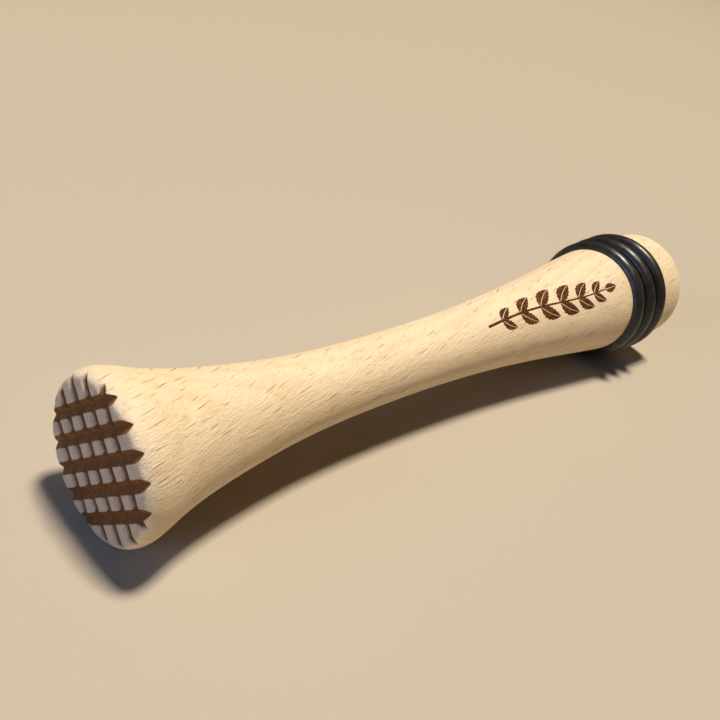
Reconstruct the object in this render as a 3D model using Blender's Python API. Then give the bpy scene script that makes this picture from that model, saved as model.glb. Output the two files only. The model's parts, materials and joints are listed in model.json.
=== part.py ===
"""Wooden muddler, lying on its side.

One turned piece of beech carries a head with crossed V grooves sawn into its end grain, a slim waist, a
handle that flares towards the butt, and three turned seats.  A rubber ring of round section is stretched
into each seat.

World frame: +Z up, resting on Z = 0 on the widest part of the head and on the rear ring, head towards -X,
butt towards +X, with the origin under the centre of the whole.  Every outline is drawn in the muddler's
own frame, where X is the turning axis and X = 0 is the head's face.
"""
import math

import bmesh
import bpy
import numpy
from mathutils import Matrix, Vector

MM = 0.001

# Body: stations are measured from the head's face unless their name says otherwise.
BODY_LENGTH = 220 * MM
HEAD_RADIUS = 18.35 * MM
HEAD_WIDEST_AT = 3.6 * MM
SHOULDER_DROP = 2.4 * MM            # from the widest radius in to the flat of the face
HEAD_BACK_AT = 10.0 * MM
HEAD_BACK_DROP = 1.6 * MM           # from the widest radius in to the back of the head
THROAT_AT = 28.0 * MM
THROAT_RADIUS = 12.6 * MM
NECK_AT = 50.0 * MM
NECK_RADIUS = 9.95 * MM
WAIST_AT = 76.0 * MM
WAIST_RADIUS = 9.1 * MM
GRIP_AHEAD_OF_RINGS = 63.0 * MM
GRIP_RADIUS = 10.8 * MM
FLARE_AHEAD_OF_RINGS = 22.0 * MM
FLARE_DROP = 3.7 * MM               # from the butt's radius in to the flare
FRONT_SEAT_DROP = 1.20 * MM         # from the butt's radius in to the wood at the front ring
BUTT_RADIUS = 18.8 * MM
BUTT_STRAIGHT = 3.0 * MM            # straight length before the end of the butt
BUTT_ROUNDING = 2.8 * MM

# Grooves across the face
GROOVE_COUNT = 5                    # each way
GROOVE_PITCH = 5.52 * MM
GROOVE_WIDTH = 2.65 * MM            # at the face
GROOVE_DEPTH = 1.5 * MM
GROOVE_TURN = math.radians(45)      # of the grid about the axis, as the muddler lies
GROOVE_OVERRUN = 1.0 * MM           # of each cutter past what it cuts

# Rubber rings
RING_SECTION_RADIUS = 2.5 * MM
RING_SPACING = 7.0 * MM             # centre to centre
REAR_RING_TO_BUTT = 18.5 * MM
RING_SINK = 0.25 * MM               # section centre below the wood's surface
SEAT_CLEARANCE = 0.3 * MM

# Fineness of the turned meshes
SIDES = 48                          # a multiple of 4, so that a flat lies on the table
SECTION_SIDES = 10
SEAT_SIDES = 7
SHOULDER_STEPS = 5
BUTT_STEPS = 4
CURVE_STEP = 7.0 * MM

RING_NAMES = ["ring_front", "ring_middle", "ring_rear"]


def smooth_curve(points):
    """Natural cubic through (station, radius) points, flat at both ends, as a function of the station."""
    stations, radii = (numpy.array(column) for column in zip(*points))
    gaps = numpy.diff(stations)
    rises = numpy.diff(radii) / gaps
    count = len(points)
    system = numpy.zeros((count, count))
    target = numpy.zeros(count)
    system[0, 0] = 1.0
    system[-1, -1] = 1.0
    for i in range(1, count - 1):
        system[i, i - 1:i + 2] = 1 / gaps[i - 1], 2 / gaps[i - 1] + 2 / gaps[i], 1 / gaps[i]
        target[i] = 3 * (rises[i - 1] / gaps[i - 1] + rises[i] / gaps[i])
    slopes = numpy.linalg.solve(system, target)

    def radius_at(station):
        i = int(numpy.clip(numpy.searchsorted(stations, station) - 1, 0, count - 2))
        t = (station - stations[i]) / gaps[i]
        start = (1 + 2 * t) * (1 - t) ** 2 * radii[i] + t * (1 - t) ** 2 * gaps[i] * slopes[i]
        end = t * t * (3 - 2 * t) * radii[i + 1] + t * t * (t - 1) * gaps[i] * slopes[i + 1]
        return float(start + end)

    return radius_at


# Stations and radii that follow from the driving sizes
ring_stations = [BODY_LENGTH - REAR_RING_TO_BUTT - RING_SPACING * back for back in (2, 1, 0)]
wood_radius = smooth_curve([
    (HEAD_WIDEST_AT, HEAD_RADIUS),
    (HEAD_BACK_AT, HEAD_RADIUS - HEAD_BACK_DROP),
    (THROAT_AT, THROAT_RADIUS),
    (NECK_AT, NECK_RADIUS),
    (WAIST_AT, WAIST_RADIUS),
    (ring_stations[0] - GRIP_AHEAD_OF_RINGS, GRIP_RADIUS),
    (ring_stations[0] - FLARE_AHEAD_OF_RINGS, BUTT_RADIUS - FLARE_DROP),
    (ring_stations[0], BUTT_RADIUS - FRONT_SEAT_DROP),
    (BODY_LENGTH - BUTT_ROUNDING - BUTT_STRAIGHT, BUTT_RADIUS),
])
ring_radii = [wood_radius(station) - RING_SINK for station in ring_stations]


def seat_outline(station, radius):
    """Arc of one ring seat, from its edge nearer the head to its edge nearer the butt."""
    section = RING_SECTION_RADIUS + SEAT_CLEARANCE
    angles = []
    for side in (-1, 1):
        angle = 0.0
        for _ in range(12):
            edge = station + side * section * math.cos(angle)
            angle = math.asin((wood_radius(edge) - radius) / section)
        angles.append(math.pi - angle if side < 0 else 2 * math.pi + angle)
    turns = numpy.linspace(angles[0], angles[1], SEAT_SIDES + 1)
    return [(station + section * math.cos(turn), radius + section * math.sin(turn)) for turn in turns]


def body_outline():
    """Outline of the wood from the middle of the face to the middle of the butt."""
    outline = [(0.0, 0.0)]
    for turn in numpy.linspace(0, math.pi / 2, SHOULDER_STEPS + 1):
        inward = SHOULDER_DROP * (1 - math.sin(turn))
        outline.append((HEAD_WIDEST_AT * (1 - math.cos(turn)), HEAD_RADIUS - inward))
    for station, radius in zip(ring_stations, ring_radii):
        seat = seat_outline(station, radius)
        outline += curve_points(outline[-1][0], seat[0][0])
        outline += seat
    straight_from = BODY_LENGTH - BUTT_ROUNDING - BUTT_STRAIGHT
    outline += curve_points(outline[-1][0], straight_from)
    outline.append((straight_from, BUTT_RADIUS))
    for turn in numpy.linspace(0, math.pi / 2, BUTT_STEPS + 1):
        station = BODY_LENGTH - BUTT_ROUNDING * (1 - math.sin(turn))
        outline.append((station, BUTT_RADIUS - BUTT_ROUNDING * (1 - math.cos(turn))))
    outline.append((BODY_LENGTH, 0.0))
    return outline


def curve_points(start, end):
    """Points of the smooth curve strictly between two stations."""
    steps = max(1, round((end - start) / CURVE_STEP))
    stations = numpy.linspace(start, end, steps + 1)[1:-1]
    return [(float(station), wood_radius(station)) for station in stations]


def ring_outline(radius):
    """Closed section of a ring about X = 0, starting at its outermost point."""
    turns = [2 * math.pi * side / SECTION_SIDES for side in range(SECTION_SIDES)]
    return [(RING_SECTION_RADIUS * math.sin(turn), radius + RING_SECTION_RADIUS * math.cos(turn))
            for turn in turns]


def turn_mesh(name, outline, closed=False):
    """Mesh of an outline turned about X, with a flat between two corners facing down."""
    shape = bmesh.new()
    half_step = Matrix.Rotation(math.pi / SIDES, 3, "X")
    verts = [shape.verts.new(half_step @ Vector((station, 0, -radius))) for station, radius in outline]
    edges = [shape.edges.new(pair) for pair in zip(verts, verts[1:])]
    if closed:
        edges.append(shape.edges.new((verts[-1], verts[0])))
    bmesh.ops.spin(shape, geom=verts + edges, cent=(0, 0, 0), axis=(1, 0, 0),
                   angle=2 * math.pi, steps=SIDES, use_merge=True)
    bmesh.ops.remove_doubles(shape, verts=shape.verts, dist=0.001 * MM)
    bmesh.ops.recalc_face_normals(shape, faces=shape.faces)
    return finished_mesh(name, shape)


def groove_cutter_mesh(name, turn):
    """Mesh of one set of parallel V bars that stand in the face, turned about X."""
    shape = bmesh.new()
    reach = HEAD_RADIUS + GROOVE_OVERRUN
    mouth = GROOVE_WIDTH / 2 * (1 + GROOVE_OVERRUN / GROOVE_DEPTH)
    for index in range(GROOVE_COUNT):
        across = (index - (GROOVE_COUNT - 1) / 2) * GROOVE_PITCH
        corners = [
            (GROOVE_DEPTH, across, -reach),
            (-GROOVE_OVERRUN, across - mouth, -reach),
            (-GROOVE_OVERRUN, across + mouth, -reach),
        ]
        section = shape.faces.new([shape.verts.new(corner) for corner in corners])
        bar = bmesh.ops.extrude_face_region(shape, geom=[section])
        moved = [item for item in bar["geom"] if isinstance(item, bmesh.types.BMVert)]
        bmesh.ops.translate(shape, vec=(0, 0, 2 * reach), verts=moved)
    bmesh.ops.rotate(shape, cent=(0, 0, 0), matrix=Matrix.Rotation(turn, 3, "X"), verts=shape.verts)
    bmesh.ops.recalc_face_normals(shape, faces=shape.faces)
    return finished_mesh(name, shape)


def finished_mesh(name, shape):
    mesh = bpy.data.meshes.new(name)
    shape.to_mesh(mesh)
    shape.free()
    return mesh


def place(name, mesh, parent, station=0.0):
    """Object for a mesh, at a station on the muddler's axis."""
    piece = bpy.data.objects.new(name, mesh)
    bpy.context.scene.collection.objects.link(piece)
    piece.parent = parent
    piece.location = (station, 0, 0)
    return piece


def finish(piece, material):
    """Give a piece its material and its smooth round faces."""
    piece.data.materials.append(material)
    piece.data.shade_smooth()
    piece.data.set_sharp_from_angle(angle=math.radians(30))


def surface(name, colour, roughness):
    material = bpy.data.materials.new(name)
    material.use_nodes = True
    shader = material.node_tree.nodes["Principled BSDF"]
    shader.inputs["Base Color"].default_value = (*colour, 1.0)
    shader.inputs["Roughness"].default_value = roughness
    shader.inputs["Metallic"].default_value = 0.0
    return material


def lying_axis():
    """Empty on the turning axis, tilted and raised so that the muddler rests on Z = 0."""
    flat = math.cos(math.pi / SIDES)
    outline = body_outline()
    rings_outside = [(station, radius + RING_SECTION_RADIUS)
                     for station, radius in zip(ring_stations, ring_radii)]
    behind_waist = rings_outside + [point for point in outline if point[0] > WAIST_AT]
    slope = max((radius - HEAD_RADIUS) * flat / (station - HEAD_WIDEST_AT)
                for station, radius in behind_waist)
    tilt = math.atan(slope)
    leftmost = min(station * math.cos(tilt) - radius * flat * math.sin(tilt) for station, radius in outline)
    rightmost = max(station * math.cos(tilt) + radius * flat * math.sin(tilt) for station, radius in outline)
    height = HEAD_RADIUS * flat * math.cos(tilt) - HEAD_WIDEST_AT * math.sin(tilt)
    axis = bpy.data.objects.new("turning_axis", None)
    bpy.context.scene.collection.objects.link(axis)
    axis.location = (-(leftmost + rightmost) / 2, 0, height)
    axis.rotation_euler = (0, -tilt, 0)
    return axis


def build():
    for leftover in list(bpy.data.objects):
        bpy.data.objects.remove(leftover, do_unlink=True)

    beech = surface("beech", (0.80, 0.60, 0.39), 0.6)
    rubber = surface("black_rubber", (0.018, 0.018, 0.019), 0.42)
    axis = lying_axis()

    body = place("body", turn_mesh("body", body_outline()), axis)
    finish(body, beech)
    for name, quarter in (("grooves_one_way", 0.0), ("grooves_other_way", math.pi / 2)):
        cutter = place(name, groove_cutter_mesh(name, GROOVE_TURN + quarter), axis)
        cutter.hide_render = True
        cutter.display_type = "WIRE"
        cut = body.modifiers.new(name, "BOOLEAN")
        cut.operation = "DIFFERENCE"
        cut.solver = "EXACT"
        cut.object = cutter

    for name, station, radius in zip(RING_NAMES, ring_stations, ring_radii):
        ring = place(name, turn_mesh(name, ring_outline(radius), closed=True), axis, station)
        finish(ring, rubber)


build()
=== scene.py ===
import json
import math

import bmesh
import bpy
import numpy
from mathutils import Euler, Matrix, Vector, noise


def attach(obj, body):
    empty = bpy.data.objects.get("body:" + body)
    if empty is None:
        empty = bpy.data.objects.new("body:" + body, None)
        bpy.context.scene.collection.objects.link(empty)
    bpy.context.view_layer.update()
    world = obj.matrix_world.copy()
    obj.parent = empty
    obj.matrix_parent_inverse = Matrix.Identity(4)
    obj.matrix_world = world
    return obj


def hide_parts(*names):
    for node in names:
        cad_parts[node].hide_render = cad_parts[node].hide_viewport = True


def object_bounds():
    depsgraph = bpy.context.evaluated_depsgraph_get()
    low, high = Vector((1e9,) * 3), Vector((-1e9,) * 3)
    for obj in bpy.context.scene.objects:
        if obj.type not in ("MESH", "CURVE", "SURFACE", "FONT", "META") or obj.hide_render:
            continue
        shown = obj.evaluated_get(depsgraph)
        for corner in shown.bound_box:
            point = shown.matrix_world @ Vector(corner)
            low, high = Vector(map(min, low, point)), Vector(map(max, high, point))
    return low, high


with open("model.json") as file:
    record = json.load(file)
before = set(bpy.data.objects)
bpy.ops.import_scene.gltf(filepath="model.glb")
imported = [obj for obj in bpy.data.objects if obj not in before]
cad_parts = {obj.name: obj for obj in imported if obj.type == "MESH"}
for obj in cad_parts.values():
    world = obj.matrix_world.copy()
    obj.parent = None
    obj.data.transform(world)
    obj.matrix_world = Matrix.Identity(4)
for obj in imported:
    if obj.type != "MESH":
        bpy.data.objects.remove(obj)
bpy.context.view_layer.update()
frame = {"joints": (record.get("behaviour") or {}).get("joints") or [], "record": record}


# ---------------------------------------------------------------------------------------------
# The body. One beech blank turned between centres: round head, slim waist, handle that widens
# to the butt. Three round-bottomed seats are turned into the handle for the rubber rings.
mm = 0.001
same_point = 0.001 * mm
joints = {joint["name"]: joint for joint in frame["joints"]}
mounts = {mount["name"]: mount for mount in frame["record"]["mounts"]}
body_length = 220 * mm
axis = Vector(joints["ring_front_turn"]["axis"]).normalized()
face_centre = Vector(mounts["butt_end"]["pos_m"]) - axis * body_length
lathe_to_table = Matrix.Translation(face_centre) @ Matrix.Rotation(-math.asin(axis.z), 4, "Y")

head_radius = 18.35 * mm
head_widest_at = 3.6 * mm
shoulder_drop = 2.4 * mm
head_ends_at = 5.0 * mm  # where the finely cut head meets the rest of the turning
butt_radius = 18.8 * mm
butt_straight_from = 214.2 * mm
butt_rounding = 2.8 * mm
butt_middle_radius = 9.0 * mm
curve_step = 1.4 * mm
ring_section_radius = 2.5 * mm
ring_sink = 0.25 * mm
seat_ease = 0.04 * mm
ring_joints = ["ring_front_turn", "ring_middle_turn", "ring_rear_turn"]
ring_stations = [(Vector(joints[name]["pos_m"]) - face_centre).dot(axis) for name in ring_joints]
turned_sides = 160
shoulder_points = 29
seat_points = 15
rounding_points = 11
grain_turn = (math.radians(-35), math.radians(0.7), math.radians(-14))  # of the blank in the lathe


def smooth_curve(marks):
    """The turner's fair curve through (station, radius) marks, flat at both ends."""
    stations, radii = (numpy.array(column) for column in zip(*marks))
    gaps = numpy.diff(stations)
    rises = numpy.diff(radii) / gaps
    count = len(marks)
    system = numpy.zeros((count, count))
    target = numpy.zeros(count)
    system[0, 0] = 1.0
    system[-1, -1] = 1.0
    for i in range(1, count - 1):
        system[i, i - 1:i + 2] = 1 / gaps[i - 1], 2 / gaps[i - 1] + 2 / gaps[i], 1 / gaps[i]
        target[i] = 3 * (rises[i - 1] / gaps[i - 1] + rises[i] / gaps[i])
    slopes = numpy.linalg.solve(system, target)

    def radius_at(station):
        i = int(numpy.clip(numpy.searchsorted(stations, station) - 1, 0, count - 2))
        t = (station - stations[i]) / gaps[i]
        start = (1 + 2 * t) * (1 - t) ** 2 * radii[i] + t * (1 - t) ** 2 * gaps[i] * slopes[i]
        end = t * t * (3 - 2 * t) * radii[i + 1] + t * t * (t - 1) * gaps[i] * slopes[i + 1]
        return float(start + end)

    return radius_at


wood_radius = smooth_curve([
    (head_widest_at, head_radius),
    (10.0 * mm, 16.75 * mm),
    (28.0 * mm, 12.6 * mm),
    (50.0 * mm, 9.95 * mm),
    (76.0 * mm, 9.1 * mm),
    (ring_stations[0] - 63.0 * mm, 10.8 * mm),
    (ring_stations[0] - 22.0 * mm, 15.1 * mm),
    (ring_stations[0], 17.6 * mm),
    (butt_straight_from, butt_radius),
])


def along_curve(start, end, step):
    """Points of the fair curve strictly between two stations."""
    count = max(1, round((end - start) / step))
    return [(s, wood_radius(s)) for s in numpy.linspace(start, end, count + 1)[1:-1]]


def head_outline():
    """Half section of the head, from the rim of its face round the shoulder to the wood behind it."""
    outline = []
    for angle in numpy.linspace(0, math.pi / 2, shoulder_points):
        station = head_widest_at * (1 - math.cos(angle))
        outline.append((station, head_radius - shoulder_drop * (1 - math.sin(angle))))
    outline += along_curve(head_widest_at, head_ends_at, curve_step / 2)
    outline.append((head_ends_at, wood_radius(head_ends_at)))
    return outline


def handle_outline():
    """Half section of the wood behind the head, with the ring seats, to the middle of the butt."""
    outline = [(head_ends_at, wood_radius(head_ends_at))]
    seat_radius = ring_section_radius + seat_ease
    for station in ring_stations:
        centre = wood_radius(station) - ring_sink
        reach = math.sqrt(seat_radius ** 2 - ring_sink ** 2)
        outline += along_curve(outline[-1][0], station - reach, curve_step)
        first = math.pi - math.asin((wood_radius(station - reach) - centre) / seat_radius)
        last = 2 * math.pi + math.asin((wood_radius(station + reach) - centre) / seat_radius)
        for angle in numpy.linspace(first, last, seat_points):
            outline.append((station + seat_radius * math.cos(angle), centre + seat_radius * math.sin(angle)))
    outline += along_curve(outline[-1][0], butt_straight_from, curve_step)
    outline.append((butt_straight_from, butt_radius))
    for angle in numpy.linspace(0, math.pi / 2, rounding_points):
        station = body_length - butt_rounding * (1 - math.sin(angle))
        outline.append((station, butt_radius - butt_rounding * (1 - math.cos(angle))))
    outline.append((body_length, butt_middle_radius))
    outline.append((body_length, 0.0))
    return outline


def turn(shape, outline, closed=False):
    """Turns an outline of (station, radius) points about the lathe's axis."""
    points = [shape.verts.new((station, 0, radius)) for station, radius in outline]
    pairs = list(zip(points, points[1:]))
    if closed:
        pairs.append((points[-1], points[0]))
    edges = [shape.edges.new(pair) for pair in pairs]
    bmesh.ops.spin(shape, geom=points + edges, cent=(0, 0, 0), axis=(1, 0, 0),
                   angle=2 * math.pi, steps=turned_sides, use_merge=True)
    bmesh.ops.remove_doubles(shape, verts=shape.verts[:], dist=same_point)


body_shape = bmesh.new()
turn(body_shape, handle_outline())
head_shape = bmesh.new()
turn(head_shape, head_outline())
face_rim = [edge for edge in head_shape.edges if edge.is_boundary and edge.verts[0].co.x < 1 * mm]
bmesh.ops.contextual_create(head_shape, geom=face_rim)

# The teeth. Two sets of five V grooves are sawn across the end grain of the head, square to each
# other. The saw leaves soft edges, a slightly wandering line and a little fuzz on the tooth tops.
groove_pitch = 5.52 * mm
groove_half_width = 1.325 * mm
groove_depth = 1.5 * mm
groove_tip_radius = 0.13 * mm
saw_wander = 0.07 * mm
wander_length = 6 * mm
depth_change = 0.05
depth_change_length = 9 * mm
tooth_wear = 0.34 * mm
wear_spread = 0.20 * mm
wear_patch = 1.6 * mm
fuzz_height = 0.05 * mm
fuzz_patch = 0.9 * mm
brushed_off = 0.06 * mm
torn_edge = 0.16 * mm
torn_patch = 1.1 * mm
# Painted shade in the sawn grooves: how far it reaches past a groove, how much more where grooves cross, and
# how much less in the second set.
shade_past_groove = 0.20 * mm
shade_at_crossings = 0.6
second_shade_share = 0.42  # the second set of grooves gets less painted shade than the first
second_shade_from = 0.02 * mm
scored_to = 2.4 * mm
teeth_end_at = 2.6 * mm
groove_lines = [groove_pitch * step for step in (-2, -1, 0, 1, 2)]
one_way = Vector((0, math.cos(math.radians(45)), math.sin(math.radians(45))))
other_way = Vector((0, -math.sin(math.radians(45)), math.cos(math.radians(45))))
score_offsets = [0.0, 0.14, 0.36, 0.68, 0.98, 1.17, 1.27, 1.37, 1.5, 1.8, 2.25]


def score(shape, direction, offset):
    """Cuts the front of the head along one straight line, so that its surface can bend there."""
    front = [vert for vert in shape.verts if vert.co.x < scored_to]
    edges = {edge for vert in front for edge in vert.link_edges}
    faces = {face for vert in front for face in vert.link_faces}
    bmesh.ops.bisect_plane(shape, geom=front + list(edges) + list(faces), dist=2 * same_point,
                           plane_co=direction * offset, plane_no=direction)


for direction in (one_way, other_way):
    for line in groove_lines:
        for offset in score_offsets:
            score(head_shape, direction, line + offset * mm)
            if offset:
                score(head_shape, direction, line - offset * mm)
for direction in ((one_way + other_way).normalized(), (one_way - other_way).normalized()):
    for step in range(-4, 5):
        score(head_shape, direction, groove_pitch * step / math.sqrt(2))


def softer_max(a, b, softness):
    """The larger of two values, with the corner between them rounded off."""
    return (a + b + math.sqrt((a - b) ** 2 + softness ** 2)) / 2


def groove_floor(across, along):
    """Depth of one set of grooves at a place, negative on the teeth between them."""
    line = min(groove_lines, key=lambda middle: abs(across - middle))
    wander = saw_wander * noise.noise(Vector((along / wander_length, line / mm, 3.0)))
    deeper = 1 + depth_change * noise.noise(Vector((along / depth_change_length, line / mm, 8.0)))
    aside = math.hypot(across - line - wander, groove_tip_radius)
    return groove_depth * deeper * (1 - aside / groove_half_width)


# Painted shade: each point of the head records how deep it lies in a groove, and the wood there is coloured
# dark brown by it.
painted_groove_shade = head_shape.verts.layers.float.new("painted_groove_shade")
for vert in head_shape.verts:
    if vert.co.x > teeth_end_at:
        continue
    u = vert.co.dot(one_way)
    v = vert.co.dot(other_way)
    worn = tooth_wear + wear_spread * noise.noise(vert.co / wear_patch)
    first_cut = groove_floor(u, v)
    second_cut = groove_floor(v, u)
    torn = torn_edge * noise.noise(vert.co / torn_patch)
    fuzz = fuzz_height * (1 + noise.noise(vert.co / fuzz_patch))
    level = softer_max(vert.co.x + fuzz, max(first_cut, second_cut), worn) - brushed_off
    level = max(level, vert.co.x)
    # Painted shade, strongest at the bottom of the grooves and weaker in the second set.
    in_second = second_cut - vert.co.x
    first_groove_shade = first_cut - vert.co.x + shade_past_groove + shade_at_crossings * max(0.0, in_second)
    second_groove_shade = second_shade_share * (in_second - second_shade_from + torn)
    vert[painted_groove_shade] = max(0.0, first_groove_shade, second_groove_shade) / groove_depth
    vert.co.x = level

head_mesh = bpy.data.meshes.new("head")
head_shape.to_mesh(head_mesh)
head_shape.free()
body_shape.from_mesh(head_mesh)
bpy.data.meshes.remove(head_mesh)
bmesh.ops.remove_doubles(body_shape, verts=body_shape.verts[:], dist=same_point)
bmesh.ops.recalc_face_normals(body_shape, faces=body_shape.faces[:])
body_shape.normal_update()
end_grain = body_shape.verts.layers.float.new("end_grain")
ring_gap_shade = body_shape.verts.layers.float.new("ring_gap_shade")
flat_sawn = body_shape.verts.layers.float.new("flat_sawn")
through_the_layers = Euler(grain_turn).to_matrix()[2]
for vert in body_shape.verts:
    # Ray flecks show as short lines only where the growth layers lie along the surface.
    vert[flat_sawn] = abs(vert.normal.dot(through_the_layers))
    vert[end_grain] = min(1.0, max(0.0, (abs(vert.normal.x) - 0.35) / 0.6))
    # Painted shade: the wood between the first and the last ring is marked to be coloured dark.
    vert[ring_gap_shade] = float(ring_stations[0] < vert.co.x < ring_stations[2])
bmesh.ops.transform(body_shape, matrix=lathe_to_table, verts=body_shape.verts[:])


def piece_from(shape, name, material):
    """Makes a smooth-shaded piece of a finished shape."""
    mesh = bpy.data.meshes.new(name)
    shape.to_mesh(mesh)
    shape.free()
    mesh.shade_smooth()
    mesh.materials.append(material)
    piece = bpy.data.objects.new(name, mesh)
    bpy.context.scene.collection.objects.link(piece)
    return piece


class Finish:
    """A material that is mixed step by step from numbers, colours and patterns."""

    def __init__(self, name):
        self.material = bpy.data.materials.new(name)
        self.material.use_nodes = True
        self.tree = self.material.node_tree
        self.shader = self.tree.nodes["Principled BSDF"]

    def feed(self, socket, value):
        if isinstance(value, bpy.types.NodeSocket):
            self.tree.links.new(value, socket)
        else:
            socket.default_value = value

    def sum(self, operation, *values, clamp=False):
        step = self.tree.nodes.new("ShaderNodeMath")
        step.operation = operation
        step.use_clamp = clamp
        for socket, value in zip(step.inputs, values):
            self.feed(socket, value)
        return step.outputs[0]

    def places(self, turned=(0, 0, 0), per_mm=(1, 1, 1)):
        """Places on the piece in millimetres, turned first and then stretched."""
        own = self.tree.nodes.new("ShaderNodeTexCoord")
        turner = self.tree.nodes.new("ShaderNodeMapping")
        turner.inputs["Rotation"].default_value = turned
        turner.inputs["Scale"].default_value = (1000, 1000, 1000)
        self.tree.links.new(own.outputs["Object"], turner.inputs["Vector"])
        return self.stretched(turner.outputs["Vector"], per_mm)

    def stretched(self, places, per_mm, shift=(0, 0, 0)):
        stretch = self.tree.nodes.new("ShaderNodeMapping")
        stretch.inputs["Scale"].default_value = per_mm
        stretch.inputs["Location"].default_value = shift
        self.tree.links.new(places, stretch.inputs["Vector"])
        return stretch.outputs["Vector"]

    def cloud(self, places, detail=2.0, roughness=0.5, colour=False):
        cloud = self.tree.nodes.new("ShaderNodeTexNoise")
        cloud.inputs["Scale"].default_value = 1.0
        cloud.inputs["Detail"].default_value = detail
        cloud.inputs["Roughness"].default_value = roughness
        self.tree.links.new(places, cloud.inputs["Vector"])
        return cloud.outputs["Color" if colour else "Fac"]

    def ramp(self, value, low, high, to_low=0.0, to_high=1.0, smooth=True):
        ramp = self.tree.nodes.new("ShaderNodeMapRange")
        ramp.interpolation_type = "SMOOTHSTEP" if smooth else "LINEAR"
        self.feed(ramp.inputs["Value"], value)
        ramp.inputs["From Min"].default_value = low
        ramp.inputs["From Max"].default_value = high
        ramp.inputs["To Min"].default_value = to_low
        ramp.inputs["To Max"].default_value = to_high
        return ramp.outputs["Result"]

    def blend(self, how, share, under, over):
        """Mixes two colours, MIX or MULTIPLY, by a share of 0 to 1."""
        step = self.tree.nodes.new("ShaderNodeMix")
        step.data_type = "RGBA"
        step.blend_type = how
        self.feed(step.inputs["Factor"], share)
        self.feed(step.inputs["A"], under)
        self.feed(step.inputs["B"], over)
        return next(out for out in step.outputs if out.type == "RGBA")

    def mark(self, name):
        own = self.tree.nodes.new("ShaderNodeAttribute")
        own.attribute_name = name
        return own.outputs["Fac"]

    def relief(self, height, deep, below=None):
        bump = self.tree.nodes.new("ShaderNodeBump")
        bump.inputs["Strength"].default_value = 1.0
        bump.inputs["Distance"].default_value = deep
        self.feed(bump.inputs["Height"], height)
        if below is not None:
            self.tree.links.new(below, bump.inputs["Normal"])
        return bump.outputs["Normal"]


def dashes(finish, places, length, spacing, width, cells):
    """Short lens-shaped dashes along the grain, one in each cell, each with its own strength."""
    cell = finish.tree.nodes.new("ShaderNodeTexVoronoi")
    cell.inputs["Scale"].default_value = 1.0
    cell.inputs["Randomness"].default_value = 0.8
    scaled = finish.stretched(places, (1 / spacing[0], 1 / spacing[1], 1 / spacing[2]), cells)
    finish.tree.links.new(scaled, cell.inputs["Vector"])
    away = finish.tree.nodes.new("ShaderNodeVectorMath")
    away.operation = "SUBTRACT"
    finish.tree.links.new(scaled, away.inputs[0])
    finish.tree.links.new(cell.outputs["Position"], away.inputs[1])
    apart = finish.tree.nodes.new("ShaderNodeSeparateXYZ")
    finish.tree.links.new(away.outputs[0], apart.inputs[0])
    chance = finish.tree.nodes.new("ShaderNodeSeparateColor")
    finish.tree.links.new(cell.outputs["Color"], chance.inputs[0])
    reach = finish.ramp(chance.outputs[0], 0, 1, 0.4 * length, 1.0 * length, smooth=False)
    lengthways = finish.sum("DIVIDE", finish.sum("MULTIPLY", apart.outputs[0], spacing[0]), reach)
    sideways = finish.sum("DIVIDE", finish.sum("MULTIPLY", apart.outputs[1], spacing[1]), width)
    gone = finish.sum("ADD", finish.sum("POWER", finish.sum("ABSOLUTE", lengthways), 2.0),
                      finish.sum("ABSOLUTE", sideways))
    shape = finish.ramp(gone, 1.0, 0.25)
    strength = finish.ramp(chance.outputs[1], 0.25, 0.85, 0.0, 1.0, smooth=False)
    return finish.sum("MULTIPLY", shape, strength)


# Beech, bare and sanded. Pale, with darker ray flecks a few millimetres long that lie along the
# grain, faint growth layers, end grain on the face and butt, and painted shade in the sawn grooves.
pale_beech = (0.85, 0.68, 0.45, 1)
cream_beech = (0.87, 0.715, 0.48, 1)
streak_tint = (0.92, 0.86, 0.77, 1)
late_wood_tint = (0.86, 0.76, 0.66, 1)
fine_streak_tint = (0.86, 0.77, 0.66, 1)
small_fleck_tint = (0.78, 0.66, 0.52, 1)
faint_fleck_tint = (0.70, 0.56, 0.42, 1)
fleck_tint = (0.56, 0.41, 0.29, 1)
end_grain_tint = (0.71, 0.70, 0.77, 1)
end_pore_tint = (0.70, 0.58, 0.48, 1)
groove_shade_tint = (0.25, 0.112, 0.026, 1)
ring_gap_shade_tint = (0.16, 0.14, 0.13, 1)
layer_thickness = 2.9

beech = Finish("bare_beech")
grain = beech.places(turned=grain_turn)
sway = beech.cloud(beech.stretched(grain, (1 / 22, 1 / 9, 1 / 9)), detail=1.0, colour=True)
swayed = beech.tree.nodes.new("ShaderNodeVectorMath")
swayed.operation = "MULTIPLY_ADD"
beech.tree.links.new(sway, swayed.inputs[0])
swayed.inputs[1].default_value = (0.0, 1.1, 2.4)
beech.tree.links.new(grain, swayed.inputs[2])
fibre = swayed.outputs[0]

flecks = dashes(beech, fibre, length=3.3, spacing=(8.0, 2.4, 16.0), width=0.16, cells=(0, 0, 0))
more_flecks = dashes(beech, fibre, length=2.8, spacing=(6.6, 1.9, 12.0), width=0.13,
                     cells=(7.3, 2.1, 5.4))
small_flecks = dashes(beech, fibre, length=1.2, spacing=(3.0, 0.9, 7.0), width=0.08,
                      cells=(3.1, 8.7, 1.2))
on_the_end = beech.ramp(beech.mark("end_grain"), 0.42, 1.0)
along_the_side = beech.ramp(beech.mark("end_grain"), 0.0, 0.7, 1.0, 0.25)
seen_edge_on = beech.ramp(beech.mark("flat_sawn"), 0.15, 0.42)
fleck_share = beech.sum("MULTIPLY", along_the_side, seen_edge_on)
flecks = beech.sum("MULTIPLY", flecks, fleck_share)
more_flecks = beech.sum("MULTIPLY", more_flecks, fleck_share)
small_flecks = beech.sum("MULTIPLY", small_flecks, seen_edge_on)

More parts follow.
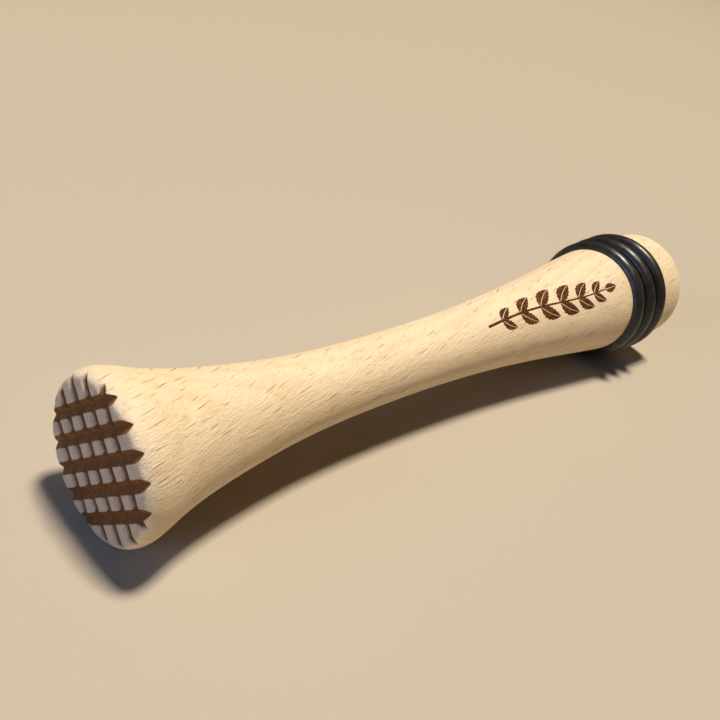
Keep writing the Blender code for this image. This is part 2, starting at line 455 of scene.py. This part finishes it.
depth_in_tree = beech.tree.nodes.new("ShaderNodeSeparateXYZ")
beech.tree.links.new(fibre, depth_in_tree.inputs[0])
layer = beech.sum("FRACT", beech.sum("DIVIDE", depth_in_tree.outputs[2], layer_thickness))
late_wood = beech.sum("MULTIPLY", beech.ramp(layer, 0.25, 0.93), beech.ramp(layer, 1.0, 0.95))

streaks = beech.cloud(beech.stretched(fibre, (1 / 38, 1 / 2.2, 1 / 2.2)), detail=3.0)
fine_streaks = beech.cloud(beech.stretched(fibre, (1 / 7, 1 / 0.32, 1 / 0.32)), detail=2.0)
patches = beech.cloud(beech.stretched(grain, (1 / 30, 1 / 14, 1 / 14)), detail=2.0)

wood = beech.blend("MIX", beech.ramp(patches, 0.3, 0.7), pale_beech, cream_beech)
wood = beech.blend("MULTIPLY", beech.ramp(streaks, 0.36, 0.70, 0.0, 0.40), wood, streak_tint)
wood = beech.blend("MULTIPLY", beech.ramp(fine_streaks, 0.42, 0.74, 0.0, 0.45), wood, fine_streak_tint)
wood = beech.blend("MULTIPLY", beech.sum("MULTIPLY", late_wood, 0.26), wood, late_wood_tint)
wood = beech.blend("MULTIPLY", beech.sum("MULTIPLY", small_flecks, 0.30), wood, small_fleck_tint)
wood = beech.blend("MULTIPLY", beech.sum("MULTIPLY", more_flecks, 0.85), wood, faint_fleck_tint)
wood = beech.blend("MULTIPLY", flecks, wood, fleck_tint)

pores = beech.cloud(beech.stretched(grain, (1 / 0.8, 1 / 0.28, 1 / 0.28)), detail=2.0, roughness=0.7)
wood = beech.blend("MULTIPLY", on_the_end, wood, end_grain_tint)
end_pores = beech.sum("MULTIPLY", on_the_end, beech.ramp(pores, 0.5, 0.72))
wood = beech.blend("MULTIPLY", end_pores, wood, end_pore_tint)
# Painted shade: the sawn grooves are coloured dark brown.
shade_in_the_grooves = beech.ramp(beech.mark("painted_groove_shade"), 0.0, 0.22)
wood = beech.blend("MULTIPLY", shade_in_the_grooves, wood, groove_shade_tint)
# Painted shade on the wood between the rubber rings.
wood = beech.blend("MULTIPLY", beech.mark("ring_gap_shade"), wood, ring_gap_shade_tint)
beech.feed(beech.shader.inputs["Base Color"], wood)

matt = beech.ramp(streaks, 0.3, 0.7, 0.56, 0.72)
matt = beech.sum("ADD", matt, beech.sum("MULTIPLY", on_the_end, 0.12), clamp=True)
beech.feed(beech.shader.inputs["Roughness"], matt)
beech.shader.inputs["Specular IOR Level"].default_value = 0.35

sanded = beech.cloud(beech.stretched(fibre, (1 / 2.6, 1 / 0.5, 1 / 0.5)), detail=3.0, roughness=0.65)
lathe_marks = beech.cloud(beech.places(per_mm=(1 / 0.35, 1 / 9, 1 / 9)), detail=2.0)
relief = beech.relief(sanded, 0.25 * mm)
relief = beech.relief(lathe_marks, 0.05 * mm, below=relief)
all_flecks = beech.sum("ADD", beech.sum("ADD", flecks, more_flecks), small_flecks)
sunk = beech.sum("MULTIPLY", all_flecks, -1.0)
relief = beech.relief(sunk, 0.05 * mm, below=relief)
rough_sawn = beech.sum("MULTIPLY", pores, on_the_end)
relief = beech.relief(rough_sawn, 0.16 * mm, below=relief)
beech.feed(beech.shader.inputs["Normal"], relief)

turned_body = piece_from(body_shape, "turned_body", beech.material)
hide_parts("body")
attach(turned_body, "body")


# ---------------------------------------------------------------------------------------------
# The sprig. A plain mint sprig burnt into the side of the handle, ahead of the front ring, with a
# hot stamp: brown scorched wood, darkest where the stamp bit, a hair's breadth proud of the rest.
sprig_side = math.radians(124)
sprig_start = 116.0 * mm
sprig_length = 60.0 * mm
sprig_lift = 0.03 * mm
burn_thickness = 0.08 * mm
stem_sway = 0.9 * mm
stem_half_width = 0.42 * mm
stem_narrowing = 0.22 * mm
stem_share = 0.93  # of the sprig's length, with the end leaf ahead of it
vein_half_width = 0.13 * mm
leaf_lean = 0.85
leaf_slimness = 0.24  # half of a leaf's width for its length
leaf_teeth = 6
leaf_tooth_depth = 0.10
leaf_places = [(6.5, 6.2), (15.0, 7.8), (24.2, 8.8), (33.4, 8.8), (42.0, 7.8), (49.8, 6.2)]
end_leaf_length = 6.0 * mm
end_leaf_half_width = 1.5 * mm
sprig_shape = bmesh.new()


def onto_the_handle(ahead, aside):
    """A place beside the sprig's middle line, brought onto the surface of the handle."""
    station = sprig_start + ahead
    radius = wood_radius(station)
    turn_to = sprig_side - aside / radius
    radius += sprig_lift
    return Vector((station, radius * math.cos(turn_to), radius * math.sin(turn_to)))


def stem_aside(ahead):
    """How far the stem sways from the straight line, a little less than one full wave."""
    return stem_sway * math.sin(ahead / sprig_length * 2 * math.pi * 0.9)


def stamp_stem():
    """The stem, a long thin strip that tapers to the tip."""
    strip = bmesh.ops.create_grid(sprig_shape, x_segments=60, y_segments=2, size=1.0)["verts"]
    for vert in strip:
        t = (vert.co.x + 1) / 2
        ahead = t * sprig_length * stem_share
        half_width = stem_half_width - stem_narrowing * t
        vert.co = onto_the_handle(ahead, stem_aside(ahead) + vert.co.y * half_width)


def stamp_half_leaf(ahead, lean, length, half_width, side):
    """Half of a toothed leaf, from its pale middle vein out to its edge."""
    half = bmesh.ops.create_grid(sprig_shape, x_segments=22, y_segments=4, size=1.0)["verts"]
    for vert in half:
        t = (vert.co.x + 1) / 2
        out = (vert.co.y + 1) / 2
        edge = half_width * math.sin(math.pi * t ** 0.8) ** 0.85
        edge *= 1 + leaf_tooth_depth * math.cos(t * 2 * math.pi * leaf_teeth)
        vein = vein_half_width * (1 - 0.5 * t)
        sideways = side * (vein + max(0.0, edge - vein) * out)
        forwards = length * t
        bend = lean * (1 - 0.35 * t)
        leaf_ahead = ahead + forwards * math.cos(bend) - sideways * math.sin(bend)
        leaf_aside = stem_aside(ahead) + forwards * math.sin(bend) + sideways * math.cos(bend)
        vert.co = onto_the_handle(leaf_ahead, leaf_aside)


stamp_stem()
for ahead, length in leaf_places:
    for lean in (leaf_lean, -leaf_lean):
        for side in (1, -1):
            stamp_half_leaf(ahead * mm, lean, length * mm, length * leaf_slimness * mm, side)
for side in (1, -1):
    stamp_half_leaf(sprig_length * stem_share, 0.0, end_leaf_length, end_leaf_half_width, side)
bmesh.ops.remove_doubles(sprig_shape, verts=sprig_shape.verts[:], dist=2 * same_point)
bmesh.ops.recalc_face_normals(sprig_shape, faces=sprig_shape.faces[:])
inwards = []
for face in sprig_shape.faces:
    place = face.calc_center_median()
    if face.normal.dot(Vector((0, place.y, place.z))) < 0:
        inwards.append(face)
bmesh.ops.reverse_faces(sprig_shape, faces=inwards)
bmesh.ops.solidify(sprig_shape, geom=sprig_shape.faces[:], thickness=burn_thickness)
bmesh.ops.transform(sprig_shape, matrix=lathe_to_table, verts=sprig_shape.verts[:])

dark_char = (0.055, 0.017, 0.005, 1)
brown_char = (0.15, 0.055, 0.016, 1)
spared_wood = (0.30, 0.14, 0.05, 1)

scorched = Finish("scorched_beech")
char_places = scorched.places(turned=(grain_turn[0], 0, 0), per_mm=(1 / 1.6, 1 / 0.6, 1 / 0.6))
char = scorched.cloud(char_places, detail=3.0, roughness=0.6)
char_spots = scorched.cloud(scorched.places(per_mm=(1 / 0.45, 1 / 0.3, 1 / 0.3)), detail=2.0)
burnt = scorched.blend("MIX", scorched.ramp(char, 0.36, 0.68), dark_char, brown_char)
burnt = scorched.blend("MIX", scorched.ramp(char_spots, 0.60, 0.78, 0.0, 0.5), burnt, spared_wood)
scorched.feed(scorched.shader.inputs["Base Color"], burnt)
scorched.feed(scorched.shader.inputs["Roughness"], scorched.ramp(char, 0.3, 0.7, 0.85, 0.68))
scorched.shader.inputs["Specular IOR Level"].default_value = 0.12
scorched.feed(scorched.shader.inputs["Normal"], scorched.relief(char, 0.06 * mm))

burnt_sprig = piece_from(sprig_shape, "burnt_sprig", scorched.material)
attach(burnt_sprig, "body")


# ---------------------------------------------------------------------------------------------
# The rings. Three black rubber rings of 5 mm round section, moulded in two halves and stretched
# over the butt into their seats. A fine moulding line runs round each where the halves met.
section_sides = 48
moulding_line = 0.02 * mm
deep_black = (0.015, 0.0125, 0.010, 1)
worn_black = (0.030, 0.026, 0.021, 1)
dust_speck = (0.085, 0.08, 0.075, 1)

rubber = Finish("black_rubber")
bloom = rubber.cloud(rubber.places(per_mm=(1 / 9, 1 / 3, 1 / 3)), detail=3.0, roughness=0.6)
specks = rubber.cloud(rubber.places(per_mm=(1 / 0.5, 1 / 0.5, 1 / 0.5)), detail=2.0, roughness=0.6)
rubbed = rubber.cloud(rubber.places(per_mm=(1 / 2.5, 1 / 2.5, 1 / 2.5)), detail=3.0)
black = rubber.blend("MIX", rubber.ramp(bloom, 0.35, 0.75), deep_black, worn_black)
black = rubber.blend("MIX", rubber.ramp(specks, 0.66, 0.80, 0.0, 0.35), black, dust_speck)
rubber.feed(rubber.shader.inputs["Base Color"], black)
rubber.feed(rubber.shader.inputs["Roughness"], rubber.ramp(rubbed, 0.3, 0.7, 0.30, 0.46))
rubber.shader.inputs["Specular IOR Level"].default_value = 0.5
skin = rubber.relief(rubbed, 0.05 * mm)
rubber.feed(rubber.shader.inputs["Normal"], rubber.relief(specks, 0.015 * mm, below=skin))


def ring_outline(station, radius):
    """The round section, with a small raised line at the outermost and innermost place."""
    outline = []
    for step in range(section_sides):
        angle = 2 * math.pi * step / section_sides
        section = ring_section_radius
        if step in (section_sides // 4, section_sides * 3 // 4):
            section += moulding_line
        outline.append((station + section * math.cos(angle), radius + section * math.sin(angle)))
    return outline


for station, place in zip(ring_stations, ("front", "middle", "rear")):
    ring_shape = bmesh.new()
    turn(ring_shape, ring_outline(station, wood_radius(station) - ring_sink), closed=True)
    bmesh.ops.recalc_face_normals(ring_shape, faces=ring_shape.faces[:])
    bmesh.ops.transform(ring_shape, matrix=lathe_to_table, verts=ring_shape.verts[:])
    ring = piece_from(ring_shape, "rubber_ring_" + place, rubber.material)
    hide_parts("ring_" + place)
    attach(ring, "ring_" + place)


# ---------------------------------------------------------------------------------------------
# The table, the light and the camera. A plain pale table, one large soft lamp nearly overhead,
# a weak cool window on the side of the head, and a camera close to the head, looking down.
table_half_side = 5.0
camera_place = Vector((-0.1787, -0.1004, 0.1319))
camera_looks = Vector((0.6887, 0.4949, -0.5298)).normalized()
camera_up = Vector((0.2098, 0.5635, 0.7991))

visual_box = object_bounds()
table_shape = bmesh.new()
bmesh.ops.create_grid(table_shape, x_segments=1, y_segments=1, size=table_half_side)
bmesh.ops.translate(table_shape, verts=table_shape.verts[:], vec=(0, 0, visual_box[0].z))
pale = Finish("pale_table")
pale.shader.inputs["Base Color"].default_value = (0.46, 0.395, 0.305, 1)
pale.shader.inputs["Roughness"].default_value = 0.85
table = piece_from(table_shape, "table", pale.material)


def soft_lamp(name, towards, distance, size, power, colour, spread=180):
    """A square soft lamp that shines at the muddler from a direction, in metres and watts."""
    data = bpy.data.lights.new(name, "AREA")
    data.spread = math.radians(spread)
    data.shape = "SQUARE"
    data.size = size
    data.energy = power
    data.color = colour
    lamp = bpy.data.objects.new(name, data)
    towards = Vector(towards).normalized()
    lamp.location = towards * distance
    lamp.rotation_euler = towards.to_track_quat("Z", "Y").to_euler()
    bpy.context.scene.collection.objects.link(lamp)


soft_lamp("overhead_lamp", (0.12, 0.03, 0.99), 8.0, 1.3, 880.0, (1.0, 0.91, 0.78))
soft_lamp("cool_window", (-0.95, 0.06, 0.30), 1.1, 0.45, 0.45, (0.34, 0.53, 1.0), spread=50)
room = bpy.data.worlds.new("room")
room.use_nodes = True
dim_wall = room.node_tree.nodes["Background"]
dim_wall.inputs["Color"].default_value = (0.80, 0.86, 1.0, 1)
dim_wall.inputs["Strength"].default_value = 0.035
pale_wall = room.node_tree.nodes.new("ShaderNodeBackground")
pale_wall.inputs["Color"].default_value = (0.51, 0.45, 0.37, 1)
seen_or_lighting = room.node_tree.nodes.new("ShaderNodeLightPath")
walls = room.node_tree.nodes.new("ShaderNodeMixShader")
room.node_tree.links.new(seen_or_lighting.outputs["Is Camera Ray"], walls.inputs[0])
room.node_tree.links.new(dim_wall.outputs[0], walls.inputs[1])
room.node_tree.links.new(pale_wall.outputs[0], walls.inputs[2])
room.node_tree.links.new(walls.outputs[0], room.node_tree.nodes["World Output"].inputs[0])
bpy.context.scene.world = room
bpy.context.scene.view_settings.view_transform = "Standard"

camera_data = bpy.data.cameras.new("camera")
camera_data.sensor_width = 36.0
camera_data.lens = 41.0
camera_data.clip_start = 0.001
camera = bpy.data.objects.new("camera", camera_data)
rightwards = camera_looks.cross(camera_up).normalized()
upwards = rightwards.cross(camera_looks)
camera_turn = Matrix((rightwards, upwards, -camera_looks)).transposed().to_4x4()
camera.matrix_world = Matrix.Translation(camera_place) @ camera_turn
bpy.context.scene.collection.objects.link(camera)
bpy.context.scene.camera = camera
